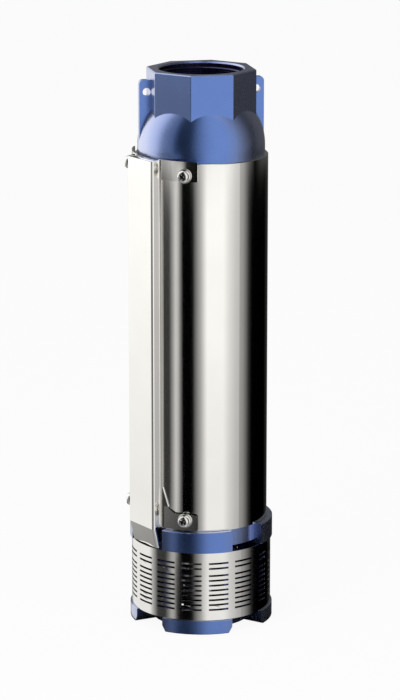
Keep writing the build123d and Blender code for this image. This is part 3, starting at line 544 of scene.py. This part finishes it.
# Impellers: closed wheels with swept blades between a hub plate and a front shroud. They are
# cast in stainless steel from wax patterns, tumbled to a soft grey sheen, and driven by the
# hexagon of the shaft.
wheel_dark = (0.47, 0.46, 0.44)
wheel_light = (0.58, 0.57, 0.55)
wheel_steel, wheel_shader = new_material("wheel_steel")
wheel_skin = place_group(wheel_steel, cast_skin, Pitch=1500.0, Cloud_Pitch=55.0)
tone_between(
    wheel_steel,
    wheel_skin.outputs["Cloud"],
    wheel_shader.inputs["Base Color"],
    wheel_dark,
    wheel_light,
)
tone_between(wheel_steel, wheel_skin.outputs["Height"], wheel_shader.inputs["Roughness"], 0.34, 0.48)
raise_height(wheel_steel, wheel_skin.outputs["Height"], wheel_shader, 0.00004, 0.4)
wheel_shader.inputs["Metallic"].default_value = 1.0
for index in range(3):
    dress(f"impeller_{index + 1}", wheel_steel)

# Check valve: a turned stainless seat, cage and disc, with the disc's seal screwed in and a
# coil of spring wire above it. The valve sits under the outlet and keeps the pipe full.
valve_steel = turned_metal("valve_steel", (0.4, 0.4, 0.39), (0.5, 0.5, 0.49), 0.3, 1300.0)
for node_name in ("valve_seat", "valve_cage", "valve_disc"):
    dress(node_name, valve_steel)
wire_steel = turned_metal("wire_steel", (0.34, 0.34, 0.34), (0.44, 0.435, 0.43), 0.28, 1800.0)
dress("valve_spring", wire_steel)

# The spring's round wire is a ring of points run up a screw line, with its two ends closed.
# In the real valve it shortens towards the cage as the disc lifts; here it rides fixed with the pump
# body.
coil_radius = 0.0096
coil_turns = 4.5
coil_steps = 144
wire_radius = 0.0009
wire_points = 12
coil_low, coil_high = (corner[2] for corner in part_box("valve_spring"))
coil_height = coil_high - coil_low
bpy.ops.object.select_all(action="DESELECT")
bpy.ops.mesh.primitive_circle_add(
    vertices=wire_points,
    radius=wire_radius,
    fill_type="NOTHING",
    location=(coil_radius, 0, coil_low + wire_radius),
    rotation=(math.pi / 2, 0, 0),
)
spring_coil = bpy.context.object
spring_coil.name = "spring_coil"
bpy.ops.object.transform_apply(location=True, rotation=True, scale=True)
coil_run = spring_coil.modifiers.new("run", "SCREW")
coil_run.axis = "Z"
coil_run.angle = 2 * math.pi * coil_turns
coil_run.screw_offset = coil_height - 2 * wire_radius
coil_run.steps = coil_steps
coil_run.render_steps = coil_steps
bpy.ops.object.modifier_apply(modifier="run")
bpy.ops.object.mode_set(mode="EDIT")
bpy.ops.mesh.select_mode(type="EDGE")
bpy.ops.mesh.select_all(action="DESELECT")
bpy.ops.mesh.select_non_manifold()
bpy.ops.mesh.edge_face_add()
bpy.ops.mesh.select_all(action="SELECT")
bpy.ops.mesh.normals_make_consistent(inside=False)
bpy.ops.object.mode_set(mode="OBJECT")
bpy.ops.object.shade_smooth_by_angle(angle=math.radians(50))
spring_coil.data.materials.append(wire_steel)
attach(spring_coil, "pump_body")
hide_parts("valve_spring")
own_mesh(spring_coil)

# Discharge head: the second blue casting, with the dome, the octagonal collar that a spanner
# holds, the two ears for the safety rope and the cut thread of the riser pipe in its mouth.
dress("discharge_head", blue_paint)

# The thread is a triangle run up a screw line, sunk a little into the bore. Its first and last
# triangles are drawn together into points.
thread_pitch = 0.002309
thread_depth = 0.00148
thread_root = 0.04394
thread_sink = 0.0002
thread_start = 0.5562
thread_turns = 13
thread_steps = 96
thread_height = thread_depth * 2 / math.sqrt(3)
bpy.ops.object.select_all(action="DESELECT")
bpy.ops.mesh.primitive_circle_add(
    vertices=3,
    radius=thread_depth * 2 / 3,
    location=(thread_root + thread_sink - thread_depth / 3, 0, thread_start),
    rotation=(math.pi / 2, -math.pi / 2, 0),
)
outlet_thread = bpy.context.object
outlet_thread.name = "outlet_thread"
bpy.ops.object.transform_apply(location=True, rotation=True, scale=True)
bpy.ops.object.mode_set(mode="EDIT")
bpy.ops.mesh.select_all(action="SELECT")
bpy.ops.transform.resize(value=(1, 1, thread_pitch / thread_height))
bpy.ops.object.mode_set(mode="OBJECT")
thread_run = outlet_thread.modifiers.new("run", "SCREW")
thread_run.axis = "Z"
thread_run.screw_offset = thread_pitch
thread_run.iterations = thread_turns
thread_run.steps = thread_steps
thread_run.render_steps = thread_steps
bpy.ops.object.modifier_apply(modifier="run")


def choose(piece, kind, test):
    """Select in edit mode the points or faces of a piece whose place passes a test."""
    bpy.ops.object.mode_set(mode="EDIT")
    bpy.ops.mesh.select_mode(type=kind)
    bpy.ops.mesh.select_all(action="DESELECT")
    bpy.ops.object.mode_set(mode="OBJECT")
    if kind == "VERT":
        for point in piece.data.vertices:
            point.select = test(point.co)
    else:
        for face in piece.data.polygons:
            face.select = test(face.center)
    bpy.ops.object.mode_set(mode="EDIT")


tiny = 1e-6
end_reach = 0.55 * thread_pitch
for thread_end in (0, thread_turns):
    end_level = thread_start + thread_end * thread_pitch
    choose(
        outlet_thread,
        "VERT",
        lambda p: abs(p.y) < tiny and p.x > 0 and abs(p.z - end_level) < end_reach,
    )
    bpy.ops.mesh.merge(type="CENTER")
bpy.ops.mesh.select_all(action="SELECT")
bpy.ops.mesh.normals_make_consistent(inside=False)
bpy.ops.object.mode_set(mode="OBJECT")
bpy.ops.object.shade_smooth_by_angle(angle=math.radians(30))
outlet_thread.data.materials.append(blue_paint)
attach(outlet_thread, "pump_body")

# Shell: a stainless tube, ground and polished along its length until it mirrors the room.
# The head and the suction casing are drawn up against its two ends.
fine_grain = bpy.data.node_groups.new("fine_grain", "ShaderNodeTree")
group_input(fine_grain, "Place", "NodeSocketVector")
group_input(fine_grain, "Stretch", "NodeSocketVector", (1.0, 1.0, 0.02))
group_input(fine_grain, "Pitch", "NodeSocketFloat", 2200.0)
group_input(fine_grain, "Cloud Pitch", "NodeSocketFloat", 18.0)
fine_grain.interface.new_socket(name="Height", in_out="OUTPUT", socket_type="NodeSocketFloat")
fine_grain.interface.new_socket(name="Cloud", in_out="OUTPUT", socket_type="NodeSocketFloat")
grain_in = add_node(fine_grain, "NodeGroupInput")
grain_out = add_node(fine_grain, "NodeGroupOutput")
grain_stretch = add_node(fine_grain, "ShaderNodeVectorMath", operation="MULTIPLY")
grain_lines = add_node(fine_grain, "ShaderNodeTexNoise")
grain_lines.inputs["Detail"].default_value = 2.0
grain_cloud = add_node(fine_grain, "ShaderNodeTexNoise")
grain_cloud.inputs["Detail"].default_value = 3.0
link(grain_in.outputs["Place"], grain_stretch.inputs[0])
link(grain_in.outputs["Stretch"], grain_stretch.inputs[1])
link(grain_stretch.outputs["Vector"], grain_lines.inputs["Vector"])
link(grain_in.outputs["Pitch"], grain_lines.inputs["Scale"])
link(grain_in.outputs["Place"], grain_cloud.inputs["Vector"])
link(grain_in.outputs["Cloud Pitch"], grain_cloud.inputs["Scale"])
link(grain_lines.outputs["Fac"], grain_out.inputs["Height"])
link(grain_cloud.outputs["Fac"], grain_out.inputs["Cloud"])


grain_depth = 0.000004
grain_upright = (1.0, 1.0, 0.02)
grain_round = (0.05, 0.05, 1.0)
grain_even = (1.0, 1.0, 1.0)


def polished_steel(name, dark, light, roughness, stretch):
    """Polished stainless sheet with a fine grain and a faint cloudiness."""
    material, shader = new_material(name)
    grain = place_group(material, fine_grain, Stretch=stretch)
    cloud, height = grain.outputs["Cloud"], grain.outputs["Height"]
    tone_between(material, cloud, shader.inputs["Base Color"], dark, light)
    tone_between(material, height, shader.inputs["Roughness"], roughness * 0.85, roughness * 1.2)
    raise_height(material, height, shader, grain_depth, 0.3)
    shader.inputs["Metallic"].default_value = 1.0
    return material


steel_dark = (0.88, 0.865, 0.82)
steel_light = (0.92, 0.905, 0.865)
shell_steel = polished_steel("shell_steel", steel_dark, steel_light, 0.1, grain_upright)
dress("shell", shell_steel)

# Strainer: thin stainless sheet with punched slots, rolled round the columns of the casing
# and closed with a seam. Its grain runs round the pump.
sleeve_dark = (0.84, 0.825, 0.785)
sleeve_light = (0.9, 0.885, 0.85)
strainer_steel = polished_steel("strainer_steel", sleeve_dark, sleeve_light, 0.12, grain_round)
dress("strainer", strainer_steel)

# Cable guard: a channel of bright stainless sheet, folded round the flat motor cable and
# held to the shell by its four tabs.
guard_steel = polished_steel("guard_steel", steel_dark, steel_light, 0.1, grain_upright)
dress("cable_guard", guard_steel)

# The lower tabs are nearly flat, so each mirrors one tone of the room. Round the middle of a
# tab, the material takes the one direction that a flat tab faces.
tab_turn = math.radians(38)
tab_top = 0.137
tab_half = 0.019
guard_shader = guard_steel.node_tree.nodes["Principled BSDF"]
guard_bump = guard_shader.inputs["Normal"].links[0].from_node
guard_place = add_node(guard_steel, "ShaderNodeTexCoord")
guard_axes = add_node(guard_steel, "ShaderNodeSeparateXYZ")
guard_side = add_node(guard_steel, "ShaderNodeMath", operation="SIGN")
guard_half = add_node(guard_steel, "ShaderNodeMath", operation="ABSOLUTE")
guard_fold = add_node(guard_steel, "ShaderNodeCombineXYZ")
guard_along = add_node(guard_steel, "ShaderNodeVectorMath", operation="DOT_PRODUCT")
guard_along.inputs[1].default_value = (math.cos(tab_turn), math.sin(tab_turn), 0)
guard_near = add_node(guard_steel, "ShaderNodeMath", operation="LESS_THAN")
guard_near.inputs[1].default_value = tab_half
guard_reach = add_node(guard_steel, "ShaderNodeMath", operation="ABSOLUTE")
guard_low = add_node(guard_steel, "ShaderNodeMath", operation="LESS_THAN")
guard_low.inputs[1].default_value = tab_top
guard_tab = add_node(guard_steel, "ShaderNodeMath", operation="MULTIPLY")
guard_across = add_node(guard_steel, "ShaderNodeMath", operation="MULTIPLY")
guard_across.inputs[1].default_value = math.sin(tab_turn)
guard_flat = add_node(guard_steel, "ShaderNodeCombineXYZ")
guard_flat.inputs["Y"].default_value = -math.cos(tab_turn)
guard_facing = add_node(guard_steel, "ShaderNodeMix", data_type="VECTOR")
link(guard_place.outputs["Object"], guard_axes.inputs["Vector"])
link(guard_axes.outputs["X"], guard_side.inputs[0])
link(guard_axes.outputs["X"], guard_half.inputs[0])
link(guard_half.outputs["Value"], guard_fold.inputs["X"])
link(guard_axes.outputs["Y"], guard_fold.inputs["Y"])
link(guard_fold.outputs["Vector"], guard_along.inputs[0])
link(guard_along.outputs["Value"], guard_reach.inputs[0])
link(guard_reach.outputs["Value"], guard_near.inputs[0])
link(guard_axes.outputs["Z"], guard_low.inputs[0])
link(guard_near.outputs["Value"], guard_tab.inputs[0])
link(guard_low.outputs["Value"], guard_tab.inputs[1])
link(guard_side.outputs["Value"], guard_across.inputs[0])
link(guard_across.outputs["Value"], guard_flat.inputs["X"])
link(guard_tab.outputs["Value"], guard_facing.inputs["Factor"])
link(guard_bump.outputs["Normal"], guard_facing.inputs["A"])
link(guard_flat.outputs["Vector"], guard_facing.inputs["B"])
link(guard_facing.outputs["Result"], guard_shader.inputs["Normal"])

# Guard screws: stainless pan heads with a cross recess, each on a plain washer, driven
# through a tab of the guard into the casting behind the shell.
screw_dark = (0.8, 0.79, 0.76)
screw_light = (0.88, 0.87, 0.84)
# Painted shade: the faces of the cross recess take a darker steel, for the shade inside the recess.
recess_shade_dark = (0.1, 0.1, 0.1)
recess_shade_light = (0.16, 0.155, 0.15)
bright_steel = polished_steel("bright_steel", screw_dark, screw_light, 0.09, grain_even)
recess_shade_steel = polished_steel("recess_shade_steel", recess_shade_dark, recess_shade_light, 0.3, grain_even)

# The washer is the rounded outline of its rim, spun round the middle.
washer_height = 0.0016
washer_inner = 0.0033
washer_outer = 0.0076
washer_middle = (washer_inner + washer_outer) / 2
washer_round = 0.0004
washer_steps = 48
bpy.ops.object.select_all(action="DESELECT")
bpy.ops.mesh.primitive_plane_add(
    size=1, location=(washer_middle, 0, washer_height / 2), rotation=(math.pi / 2, 0, 0)
)
washer = bpy.context.object
washer.data.materials.append(bright_steel)
washer.scale = (washer_outer - washer_inner, washer_height, 1)
bpy.ops.object.transform_apply(location=True, rotation=True, scale=True)
bpy.ops.object.mode_set(mode="EDIT")
bpy.ops.mesh.select_all(action="SELECT")
bpy.ops.mesh.bevel(offset=washer_round, segments=3, affect="VERTICES")
bpy.ops.mesh.select_all(action="SELECT")
bpy.ops.mesh.delete(type="ONLY_FACE")
bpy.ops.mesh.select_all(action="SELECT")
bpy.ops.mesh.spin(steps=washer_steps, angle=2 * math.pi, center=(0, 0, 0), axis=(0, 0, 1))
bpy.ops.mesh.select_all(action="SELECT")
bpy.ops.mesh.remove_doubles(threshold=tiny)
bpy.ops.mesh.normals_make_consistent(inside=False)
bpy.ops.object.mode_set(mode="OBJECT")
bpy.ops.object.shade_smooth_by_angle(angle=math.radians(40))

# The screw's head is a disc raised ring by ring, each with its rise and its share of the
# radius. The shank goes down from the middle of its underside.
head_radius = 0.0066
head_rings = [
    (0.0003, 1.05),
    (0.0022, 1.0),
    (0.0014, 0.95),
    (0.001, 0.86),
    (0.0007, 0.76),
    (0.0004, 0.6),
    (0.0002, 0.4),
]
shank_radius = 0.003
shank_reach = 0.0131
bpy.ops.object.select_all(action="DESELECT")
bpy.ops.mesh.primitive_circle_add(
    vertices=48, radius=head_radius, fill_type="NGON", location=(0, 0, washer_height)
)
screw = bpy.context.object
screw.data.materials.append(bright_steel)
bpy.ops.object.transform_apply(location=True, rotation=True, scale=True)
bpy.ops.object.mode_set(mode="EDIT")
bpy.ops.mesh.select_all(action="SELECT")
ring_width = 1.0
for rise, width in head_rings:
    bpy.ops.mesh.extrude_region_move(TRANSFORM_OT_translate={"value": (0, 0, rise)})
    bpy.ops.transform.resize(value=(width / ring_width, width / ring_width, 1))
    ring_width = width
middle_reach = 0.0001
choose(
    screw,
    "FACE",
    lambda p: abs(p.z - washer_height) < tiny and p.length < washer_height + middle_reach,
)
bpy.ops.mesh.inset(thickness=head_radius - shank_radius)
bpy.ops.mesh.extrude_region_move(TRANSFORM_OT_translate={"value": (0, 0, -shank_reach)})
bpy.ops.mesh.select_all(action="SELECT")
bpy.ops.mesh.normals_make_consistent(inside=False)
bpy.ops.object.mode_set(mode="OBJECT")

# The cross recess is cut with a tapered cross, made from a grid whose corner squares go.
recess_span = 0.0076
recess_width = 0.0021
recess_floor = 0.0052
recess_top = 0.0084
recess_taper = 0.55
bpy.ops.object.select_all(action="DESELECT")
bpy.ops.mesh.primitive_grid_add(
    x_subdivisions=3, y_subdivisions=3, size=recess_span, location=(0, 0, recess_top)
)
cross = bpy.context.object
# The cutter carries the darker steel of the painted recess shade onto the faces it cuts.
cross.data.materials.append(recess_shade_steel)
bpy.ops.object.transform_apply(location=True, rotation=True, scale=True)
third = recess_span / 3
inner = recess_width / third
choose(cross, "VERT", lambda p: abs(p.x) < third)
bpy.ops.transform.resize(value=(inner, 1, 1))
choose(cross, "VERT", lambda p: abs(p.y) < third)
bpy.ops.transform.resize(value=(1, inner, 1))
choose(cross, "FACE", lambda p: min(abs(p.x), abs(p.y)) > recess_width / 2)
bpy.ops.mesh.delete(type="FACE")
bpy.ops.mesh.select_all(action="SELECT")
recess_drop = recess_floor - recess_top
bpy.ops.mesh.extrude_region_move(TRANSFORM_OT_translate={"value": (0, 0, recess_drop)})
bpy.ops.transform.resize(value=(recess_taper, recess_taper, 1))
bpy.ops.mesh.select_all(action="SELECT")
bpy.ops.mesh.normals_make_consistent(inside=False)
bpy.ops.object.mode_set(mode="OBJECT")
bpy.ops.object.select_all(action="DESELECT")
screw.select_set(True)
bpy.context.view_layer.objects.active = screw
recess = screw.modifiers.new("recess", "BOOLEAN")
recess.object = cross
recess.operation = "DIFFERENCE"
recess.material_mode = "TRANSFER"
bpy.ops.object.modifier_apply(modifier="recess")
edge_round = 0.00015
edges = screw.modifiers.new("edges", "BEVEL")
edges.width = edge_round
edges.segments = 2
edges.angle_limit = math.radians(50)
bpy.ops.object.modifier_apply(modifier="edges")
bpy.ops.object.shade_smooth_by_angle(angle=math.radians(35))
bpy.data.objects.remove(cross)

# A screw and a washer at each tab, at the tab's turn round the pump, with every recess left
# at another angle by the screwdriver.
screw_turn = math.radians(37)
screw_reach = (0.048736, 0.054156)
screw_levels = (0.4908, 0.1242)
recess_turns = (20, 52, 8, 71)
place_number = 0
for level in screw_levels:
    for side in (-1, 1):
        place_number += 1
        for name, model in (("guard_screw", screw), ("guard_washer", washer)):
            piece = bpy.data.objects.new(f"{name}_{place_number}", model.data.copy())
            bpy.context.scene.collection.objects.link(piece)
            turn = Matrix.Rotation(math.radians(recess_turns[place_number - 1]), 4, "Z")
            tip = Matrix.Rotation(math.pi / 2, 4, "X")
            lean = Matrix.Rotation(side * screw_turn, 4, "Z") @ tip
            shift = Matrix.Translation((side * screw_reach[0], -screw_reach[1], level))
            piece.data.transform(shift @ lean @ turn)
            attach(piece, "pump_body")
            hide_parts(f"{name}s")
for model in (screw, washer):
    bpy.data.objects.remove(model)
